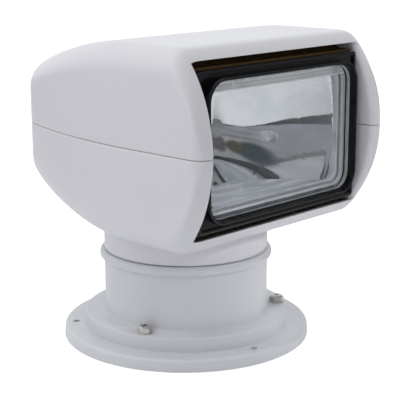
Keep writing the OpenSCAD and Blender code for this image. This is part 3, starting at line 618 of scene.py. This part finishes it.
# Bezel
# A glossy black moulded frame: a flat plate with a raised band along its edge, and a ring that stands out
# round the glass; four screws from behind hold it to the bucket.

CORNER_STEPS = 10


def round_rect(x, z, r):
    """A rounded rectangle's points, anticlockwise from the right side."""
    quarters = [(x - r, z - r, 0), (r - x, z - r, 90), (r - x, r - z, 180), (x - r, r - z, 270)]
    return [p for cx, cz, start in quarters for p in arc(cx, cz, r, start, start + 90, CORNER_STEPS)]


def loop_points(loops):
    """Points of loops of (half width, half height, corner radius, y) about the lamp's axis.

    A loop that isn't flat gives its y as a function of x and z.
    """
    points = []
    for x, z, r, y in loops:
        points += [(px * MM, (y(px, pz) if callable(y) else y) * MM, (lamp_z + pz) * MM)
                   for px, pz in round_rect(x, z, r)]
    return points


def frame_loft(name, loops, material, closed=True):
    """A frame through loops and, if closed, from the last loop to the first."""
    points = loop_points(loops)
    return piece(name, points, woven(len(loops), len(points) // len(loops), closed), material)


def gloss_black(name, low, high, rough):
    """Black moulding with a polished face and faint dust."""
    finish = Finish(name, Specular_IOR_Level=0.45)
    finish.tint(finish.noise(10, 5), low, high)
    finish.set("Roughness", rough + 0.1 * finish.noise(20, 5))
    finish.bump(finish.noise(2, 2), 0.01)
    return finish.material


bezel_black = gloss_black("bezel_black", (0.002, 0.002, 0.0025), (0.005, 0.005, 0.006), rough=0.10)
bezel_low, bezel_high = (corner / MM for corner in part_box("bezel"))
bez_x = bezel_high.x
bez_z = (bezel_high.z - bezel_low.z) / 2
lamp_z = (bezel_high.z + bezel_low.z) / 2
FRAME_W, FRAME_H, PLATE_R, PLATE_LEAST_R = 7.5, 8.5, 3.0, 1.0
GLASS_R, GLASS_OUT, GLASS_GAP, GLASS_SEAT = 13.0, 1.5, 0.6, 0.4
BAND, GROOVE, RING_OUT, RING_W, RING_IN = 2.8, 1.6, 5.7, 2.7, 1.4
PLATE_EDGE, BAND_EDGE, RING_EDGE = 0.6, 0.5, 0.9
POCKET, SLEEVE = 5.8, 2.0
crest_y, seat_y = bezel_low.y, bezel_high.y
plate_y = crest_y + RING_OUT
front_y = plate_y - GLASS_OUT
glass_x, glass_z = bez_x - FRAME_W, bez_z - FRAME_H
ring_out = GLASS_GAP + RING_W


def plate_loop(inset, y):
    """A loop of the bezel's plate, inset from its outer edge."""
    return bez_x - inset, bez_z - inset, max(PLATE_LEAST_R, PLATE_R - inset), y


def glass_loop(out, y):
    """A loop that is out from the glass's edge."""
    return glass_x + out, glass_z + out, GLASS_R + out, y


plate_edge = arc(PLATE_EDGE, plate_y + PLATE_EDGE, PLATE_EDGE, 180, 270, 2)
band_edge = arc(BAND - BAND_EDGE, plate_y + BAND_EDGE, BAND_EDGE, -90, 0, 2)
ring_outside = arc(ring_out - RING_EDGE, crest_y + RING_EDGE, RING_EDGE, 0, -90, 2)
ring_inside = arc(RING_IN + BAND_EDGE, crest_y + BAND_EDGE, BAND_EDGE, -90, -180, 2)
band = [(0, seat_y)] + plate_edge + band_edge + [(BAND, plate_y + GROOVE)]
ring = [(ring_out, plate_y + GROOVE)] + ring_outside + ring_inside
ring += [(RING_IN, front_y), (GLASS_GAP, front_y + GLASS_SEAT), (GLASS_GAP, plate_y + POCKET)]
sleeve = [(SLEEVE, plate_y + POCKET), (SLEEVE, seat_y)]
bezel_loops = [plate_loop(*place) for place in band] + [glass_loop(*place) for place in ring]
bezel_loops += [plate_loop(*place) for place in sleeve]
bezel = frame_loft("bezel_moulding", bezel_loops, bezel_black)
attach(bezel, "lamp")
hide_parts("bezel")
refine("lens_gasket", seal_rubber)


# Front glass
# Pressed clear glass of a rectangular lamp unit: a slightly crowned front with rolled edges, a stepped skirt
# that goes back to the reflector and a rim behind the bezel. Its skirt, its edge and a strip behind the
# border along its top are opaque, with painted fine lines and bands of light and shade for what the glass
# refracts and reflects.

def clear_glass(name, colour, ripple, clear=1.0, coat=0.0):
    """Pressed glass with a faint ripple. Where clear is below 1, the rest is white and diffuse: on the bulb,
    a painted sheen standing in for reflected light.
    """
    finish = Finish(name, Base_Color=(*colour, 1), Transmission_Weight=clear, IOR=1.5, Coat_Weight=coat,
                    Coat_IOR=2.0)
    finish.set("Roughness", 0.01 * finish.noise(20, 3))
    finish.bump(finish.noise(12, 2), ripple)
    return finish.material


lens_glass = clear_glass("lens_glass", (0.95, 0.96, 0.965), ripple=0.02)
CROWN_R, ROLL, GLASS_T, GLASS_EDGE, GLASS_CRISP = 900.0, 1.0, 4.0, 0.4, 50
FACE_RINGS, FACE_LEAST_R = 7, 0.05


def crowned(y):
    """The y, over x and z, of a crowned face whose middle is at y."""
    return lambda x, z: y + CROWN_R - math.sqrt(CROWN_R ** 2 - x * x - z * z)


def face_loops(x, z, r, y):
    """Loops across a face, from near its middle to near its edge."""
    shares = [k / FACE_RINGS for k in range(1, FACE_RINGS)]
    return [(x * share, z * share, max(FACE_LEAST_R, r * share), y) for share in shares]


def dome(name, loops, material):
    """A closed skin through loops and across both of its faces."""
    rows = face_loops(*loops[0]) + loops + face_loops(*loops[-1])[::-1]
    points = loop_points(rows)
    count = len(points) // len(rows)
    ends = [tuple(range(count)), tuple(range(len(points) - count, len(points)))]
    return piece(name, points, ends + woven(len(rows), count, closed=False), material, GLASS_CRISP)


roll = [glass_loop(out, crowned(y)) for out, y in arc(-ROLL, front_y + ROLL, ROLL, -90, 0, 6)]
lens = dome("lens_pressing", roll + [glass_loop(0, crowned(front_y + GLASS_T - GLASS_EDGE)),
                                     glass_loop(-GLASS_EDGE, crowned(front_y + GLASS_T))], lens_glass)
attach(lens, "lamp")
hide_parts("front_lens")


def painted_glass_bands(name, dark, light, axis, start, end, stops):
    """Opaque, partly silvered glass with painted fine lines and bands of light and shade, which stand in for
    the light glass refracts and reflects: stops give the painted shade from start to end along an axis.
    """
    finish = Finish(name, IOR=1.5)
    place = finish.add("SeparateXYZ", None, {0: finish.add("TexCoord", out="Object")}, out=axis)
    painted_bands = finish.add("ValToRGB", {"stops": [(at, (tone, tone, tone, 1)) for at, tone in stops]},
                       {"Fac": (place - start * MM) * (1 / ((end - start) * MM))})
    shade = painted_bands * (0.8 + 0.4 * finish.noise(1.2, 2, (0.01, 1, 0.01)))
    finish.tint(shade, dark, light)
    finish.set("Metallic", 0.4 * shade)
    finish.set("Roughness", 0.2 + 0.2 * finish.noise(3, 2, (0.1, 1, 0.1)))
    finish.bump(finish.noise(4, 2), 0.03)
    return finish.material


SKIRT_T, SKIRT_LEAN, LINE_GAP, EDGE_OUT = 5.5, 0.2, 0.02, 0.1
RIM_BEHIND, RIM_H, RIM_IN_X, RIM_IN_Z, RIM_R = 7.0, 4.5, 2.8, 4.75, 14
LEDGES, LEDGE_W, LEDGE_START, LEDGE_RISE, LEDGE_FALL, LEDGE_BEVEL = 2, 1.7, 1.9, 2.0, 0.4, 0.25
rim_x, rim_z = bez_x - RIM_IN_X, bez_z - RIM_IN_Z
rim_y = plate_y + RIM_BEHIND
back_y = rim_y + RIM_H
behind_front = crowned(front_y + GLASS_T + LINE_GAP)
# Painted light and shade along the skirt's depth: a dark band and bright bands standing in for the light the
# glass refracts and reflects.
SKIRT_PAINTED_BANDS = ((0.0, 0.9), (0.36, 0.8), (0.40, 0.03), (0.58, 0.10),
               (0.63, 0.95), (0.80, 0.75), (0.82, 0.2), (0.84, 1.0))
skirt_painted_glass = painted_glass_bands("skirt_painted_glass", (0.01, 0.012, 0.015), (0.66, 0.68, 0.71),
                            "Y", front_y, back_y, SKIRT_PAINTED_BANDS)


def ledge_loop(step, y):
    """A loop of the skirt's stepped inside, step ledges out from its narrowest."""
    return glass_loop(LEDGE_W * step - SKIRT_T, y)


ledges = [ledge_loop(0, back_y)]
for k in range(LEDGES):
    y = back_y - LEDGE_START - LEDGE_RISE * k
    ledges += [ledge_loop(k, y), ledge_loop(k + LEDGE_BEVEL, y - LEDGE_FALL),
               ledge_loop(k + 1, y - LEDGE_FALL)]
skirt = frame_loft("lens_skirt", [glass_loop(-SKIRT_LEAN, behind_front), glass_loop(0, rim_y),
                                  (rim_x, rim_z, RIM_R, rim_y), (rim_x, rim_z, RIM_R, back_y)]
                   + ledges + [ledge_loop(LEDGES, behind_front)], skirt_painted_glass)
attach(skirt, "lamp")
edge = frame_loft("lens_edge", [glass_loop(EDGE_OUT, front_y + ROLL),
                                glass_loop(EDGE_OUT, front_y + GLASS_T)], skirt_painted_glass, closed=False)
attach(edge, "lamp")


def crowded(half, count):
    """Places from -half to half that crowd at both ends."""
    return [half * math.sin(math.pi * (k / count - 0.5)) for k in range(count + 1)]


# A flat strip just behind the top of the front glass, painted with light and dark bands that stand in for the
# light the glass border refracts and reflects.
BORDER_W, BORDER_DROP, BORDER_IN, BORDER_STEPS = 7.5, 0.3, 2.0, 60
border_top, border_low = lamp_z + glass_z - BORDER_DROP, lamp_z + glass_z - BORDER_W
border_y = crowned(front_y + GLASS_T + LINE_GAP / 2)
BORDER_PAINTED_BANDS = ((0.0, 0.7), (0.10, 1.0), (0.34, 0.95), (0.39, 0.45),
                (0.44, 0.75), (0.76, 0.72), (0.82, 0.35), (0.88, 0.95))
border_painted_glass = painted_glass_bands("border_painted_glass", (0.01, 0.012, 0.013), (0.85, 0.88, 0.885),
                             "Z", border_top, border_low, BORDER_PAINTED_BANDS)
points = []
for x in crowded(glass_x - BORDER_IN, BORDER_STEPS):
    side = max(0, abs(x) - glass_x + GLASS_R)
    top = border_top - GLASS_R + math.sqrt(GLASS_R ** 2 - side ** 2)
    for z in (top, (top + border_low) / 2, border_low):
        points.append((x * MM, border_y(x, z - lamp_z) * MM, z * MM))
firsts = [3 * k + n for k in range(BORDER_STEPS) for n in (0, 1)]
border = piece("lens_border", points, [(n, n + 3, n + 4, n + 1) for n in firsts], border_painted_glass)
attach(border, "lamp")


# Reflector
# A pressed dish with a parabolic bowl that is cut flat above and below and is flatter in its upper half,
# metallised inside to a bright mirror; its flange is clamped behind the glass.

def eased(finish, value, start, end):
    """Goes smoothly from 0 to 1 as a value goes from start to end."""
    return finish.add("MapRange", {"interpolation_type": "SMOOTHSTEP"},
                      {"Value": value, "From Min": start, "From Max": end})


def mirror_coat(name, low, high, haze, wave, stretch=(1, 1, 1), film=1.0):
    """A metal film with haze, over waves of the pressing, in a tone that goes from low to high in patches; on
    the shelves these patches are painted streaks of reflected light.
    """
    finish = Finish(name, Metallic=film)
    finish.tint(eased(finish, finish.noise(30, 4, stretch), 0.42, 0.66), low, high)
    finish.set("Roughness", haze + haze * finish.noise(15, 4))
    finish.bump(finish.noise(20, 2, stretch), wave)
    return finish.material


reflector_coat = mirror_coat("reflector_coat", (0.80, 0.81, 0.83), (0.88, 0.89, 0.91), haze=0.02, wave=0.06)
# The flat shelves are mostly non-metal: their pale-to-white streaky tone is painted reflected light.
shelf_painted_streaks = mirror_coat("shelf_painted_streaks", (0.62, 0.65, 0.69), (1.0, 1.0, 1.0), haze=0.16, wave=0.4,
                         stretch=(0.8, 4.0, 1), film=0.25)
REFL_GAP, REFL_R, REFL_LIP, REFL_T = 0.5, 0.5, 2.5, 1.5
BASE_BEHIND, BULB_HOLE_R, FOCAL_UP = 9.0, 6.48, 45.0
BOWL_X, BOWL_Z, BOWL_CRISP, LEVEL, TOUCHING = 96, 60, 40, 0.999, 1e-6
refl_x, refl_z = glass_x - SKIRT_T - REFL_GAP, glass_z - SKIRT_T - REFL_GAP
vertex_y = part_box("bulb_base")[1].y / MM - BASE_BEHIND
focal = refl_x ** 2 / (4 * (vertex_y - back_y + REFL_T))


def dish_point(x, z):
    """A point of the bowl, or of the rim's plane where the bowl would stand in front of it."""
    rise = z * z / (4 * (FOCAL_UP if z > 0 else focal))
    return (x * MM, max(back_y, vertex_y - x * x / (4 * focal) - rise) * MM, (lamp_z + z) * MM)


bowl = bmesh.new()
levels = [refl_z * (2 * j / BOWL_Z - 1) for j in range(BOWL_Z + 1)]
grid = [[bowl.verts.new(dish_point(x, z)) for x in crowded(refl_x, BOWL_X)] for z in levels]
for a, b in zip(grid, grid[1:]):
    for i in range(BOWL_X):
        corners = (a[i], a[i + 1], b[i + 1], b[i])
        middle = sum((c.co for c in corners), Vector()) / 4
        if math.hypot(middle.x, middle.z - lamp_z * MM) > BULB_HOLE_R * MM:
            bowl.faces.new(corners)
for row in (grid[0], grid[-1]):
    rim = [bowl.verts.new((v.co.x, back_y * MM, v.co.z)) for v in row]
    for i in range(BOWL_X):
        if max(row[i].co.y, row[i + 1].co.y) > back_y * MM + TOUCHING:
            bowl.faces.new((row[i], row[i + 1], rim[i + 1], rim[i]))
reflector = from_sheet("reflector_bowl", bowl, reflector_coat, BOWL_CRISP)
reflector.data.materials.append(shelf_painted_streaks)
for face in reflector.data.polygons:
    face.material_index = 1 if abs(face.normal.z) > LEVEL else 0
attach(reflector, "lamp")
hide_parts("reflector")
flange_rows = [(refl_x, refl_z, REFL_R, back_y), (rim_x, rim_z, RIM_R, back_y),
               (rim_x, rim_z, RIM_R, back_y + REFL_LIP),
               (refl_x + REFL_T, refl_z + REFL_T, REFL_R + REFL_T, back_y + REFL_LIP)]
reflector_rim = frame_loft("reflector_rim", flange_rows, reflector_coat, closed=False)
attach(reflector_rim, "lamp")


# Bulb
# A halogen bulb that lies along the lamp's axis: a clear capsule with a closed tip, a coil on two leads and a
# metal foot, held from behind by a ceramic socket and a spring clip.

# The bulb's glass is partly white and diffuse: a painted sheen that stands in for the light its clear capsule
# reflects.
bulb_painted_sheen = clear_glass("bulb_painted_sheen", (0.97, 0.95, 0.98), ripple=0.06, clear=0.72, coat=1.0)
coil_grey = grained("coil_grey", (0.10, 0.09, 0.08), (0.22, 0.20, 0.18), rough=0.4, metallic=1.0)
foot_steel = bright_steel("foot_steel", (0.55, 0.53, 0.50), (0.70, 0.68, 0.65), rough=0.2)
socket_ceramic = grained("socket_ceramic", (0.72, 0.70, 0.64), (0.80, 0.78, 0.73), rough=0.6)
refine("bulb_glass", bulb_painted_sheen)
refine("filament", coil_grey)
refine("bulb_base", foot_steel, STEEL_EDGE)
refine("bulb_clip", screw_steel)
refine("bulb_socket", socket_ceramic)


# Photographer's set-up
# A pale floor and a white surround, lit by three soft boxes and a narrow fill on the base. Gloss and glass
# see both in other tones: the floor bright near the part, with a dark edge and grey beyond it, and the
# surround darker in front.

WHITE, PALE = (1, 1, 1), (0.95, 0.97, 1.0)


def glow(finish, kind, level, colour):
    """A plain light of the floor or of the surround."""
    return finish.add(kind, None, {"Color": (*colour, 1), "Strength": level})


def after_diffuse(finish):
    """1 for what is seen after a diffuse bounce, else 0."""
    depth = finish.add("LightPath", out="Diffuse Depth")
    return finish.add("Math", {"operation": "MINIMUM"}, {0: depth, 1: 1.0})


def mirrored(finish):
    """1 for what gloss or glass shows before any diffuse bounce, else 0."""
    gloss = finish.add("LightPath", out="Is Glossy Ray")
    glass = finish.add("LightPath", out="Is Transmission Ray")
    return finish.add("Math", {"operation": "MAXIMUM"}, {0: gloss, 1: glass}) * (1.0 - after_diffuse(finish))


def cover(finish, under, mask, coat):
    """One shader over another where the mask is 1."""
    return finish.add("MixShader", None, {0: mask, 1: under, 2: coat})


def painted(finish, kind, under, place, patches):
    """Lays plain tones over a shader, each of which comes in from start to end along its way."""
    for way, start, end, level, colour in patches:
        along = finish.add("VectorMath", {"operation": "DOT_PRODUCT"}, {0: place, 1: way}, out="Value")
        under = cover(finish, under, eased(finish, along, start, end), glow(finish, kind, level, colour))
    return under


FLOOR_HALF, FLOOR_DROP, FLOOR_GLOW, TABLE_GLOW = 9.0, 0.0005, 0.70, 0.82
RIGHT_WAY, FAR_WAY = (1, -0.4, 0), (-0.918, 0.395, 0)
floor_finish = Finish("pale_floor", Roughness=0.9)
floor_finish.tint(floor_finish.noise(400, 3), (0.89, 0.895, 0.905), (0.92, 0.925, 0.935))
bare = Val(floor_finish, floor_finish.shader.outputs[0])
white = floor_finish.add("AddShader", None, {0: glow(floor_finish, "Emission", FLOOR_GLOW, WHITE), 1: bare})
table = painted(floor_finish, "Emission", glow(floor_finish, "Emission", TABLE_GLOW, (0.96, 0.98, 1.0)),
                floor_finish.add("TexCoord", out="Object"),
                ((RIGHT_WAY, 0.15, 0.5, 1.0, (0.28, 0.285, 0.30)),
                 (FAR_WAY, 0.40, 0.42, 1.0, (0.045, 0.045, 0.05)),
                 (FAR_WAY, 0.58, 0.66, 1.0, (0.285, 0.295, 0.325))))
shown = cover(floor_finish, bare, mirrored(floor_finish), table)
shown = cover(floor_finish, shown, floor_finish.add("LightPath", out="Is Camera Ray"), white)
floor_finish.tree.links.new(shown.socket, floor_finish.tree.nodes["Material Output"].inputs[0])
floor_points = [(x * FLOOR_HALF, y * FLOOR_HALF, 0) for x, y in ((-1, -1), (1, -1), (1, 1), (-1, 1))]
floor = piece("floor", floor_points, [(0, 1, 2, 3)], floor_finish.material)
floor.location.z = -FLOOR_DROP


class Surround(Finish):
    """The world's node tree: its Background node is the ambient light."""

    def __init__(self, name, **values):
        self.world = bpy.data.worlds.new(name)
        self.world.use_nodes = True
        self.tree = self.world.node_tree
        self.shader = self.tree.nodes["Background"]
        self.fill(self.shader, values)


FRONT_WAY, BELOW_WAY = (0.15, -0.9, 0.42), (0.14, -0.83, -0.53)
ROOM_GLOW, BEHIND_GLASS_GLOW = 1.0, 3.2
room = Surround("surround", Color=(0.945, 0.96, 1.0, 1), Strength=0.50)
bpy.context.scene.world = room.world
way = room.add("TexCoord", out="Generated")
walls = painted(room, "Background", glow(room, "Background", ROOM_GLOW, PALE), way,
                ((FRONT_WAY, 0.05, 0.3, 0.45, PALE),
                 (BELOW_WAY, -0.04, -0.025, 0.16, PALE),
                 (BELOW_WAY, 0.0, 0.03, 0.29, PALE),
                 ((-0.43, -0.69, 0.58), 0.95, 0.985, 1.0, (0.025, 0.04, 0.048)),
                 ((-0.20, -0.84, 0.50), 0.975, 0.99, 1.0, (0.06, 0.05, 0.02)),
                 ((0.16, -0.90, 0.40), 0.96, 0.985, 1.0, (0.07, 0.065, 0.07))))
light = painted(room, "Background", Val(room, room.shader.outputs[0]), way,
                (((0.2, -0.95, 0.25), 0.1, 0.9, 0.36, PALE),))
within = room.add("LightPath", out="Is Transmission Ray") * after_diffuse(room)
light = cover(room, light, within, glow(room, "Background", BEHIND_GLASS_GLOW, PALE))
sky = cover(room, light, mirrored(room), walls)
seen = room.add("LightPath", out="Is Camera Ray")
sky = cover(room, sky, seen, glow(room, "Background", ROOM_GLOW, WHITE))
room.tree.links.new(sky.socket, room.tree.nodes["World Output"].inputs["Surface"])


def soft_box(name, place, aim, size, power):
    """A square area lamp that looks at a point."""
    data = bpy.data.lights.new(name, "AREA")
    data.size = size
    data.energy = power
    lamp = bpy.data.objects.new(name, data)
    lamp.location = place
    lamp.rotation_euler = (Vector(aim) - Vector(place)).to_track_quat("-Z", "Y").to_euler()
    lamp.visible_glossy = False
    lamp.visible_transmission = False
    bpy.context.scene.collection.objects.link(lamp)
    return lamp


MIDDLE, FOOT, FILL_SPREAD = (0.0, 0.0, 0.12), (0, 0, 0.01), 10
soft_box("overhead", (-0.25, -0.1, 1.6), MIDDLE, size=1.4, power=7.5)
soft_box("left", (-1.35, 0.65, 1.35), MIDDLE, size=1.2, power=7)
soft_box("right", (1.55, -0.3, 0.75), MIDDLE, size=1.0, power=5)
fill = soft_box("base", (0.45, -1.25, 0.75), FOOT, size=0.12, power=0.020)
fill.data.spread = math.radians(FILL_SPREAD)

CAMERA_AT = (-0.62229, -0.60658, 0.30903)
CAMERA_RIGHT = (0.68832, -0.7254, -0.00313)
CAMERA_UP = (0.16894, 0.15611, 0.97318)
CAMERA_BACK = (-0.70546, -0.67039, 0.23001)
view = bpy.data.cameras.new("view")
view.lens = 104.5
view.sensor_width = 36.0
camera = bpy.data.objects.new("view", view)
facing = Matrix((CAMERA_RIGHT, CAMERA_UP, CAMERA_BACK)).transposed().to_4x4()
camera.matrix_world = Matrix.Translation(CAMERA_AT) @ facing
bpy.context.scene.collection.objects.link(camera)
bpy.context.scene.camera = camera
bpy.context.scene.view_settings.view_transform = "Standard"
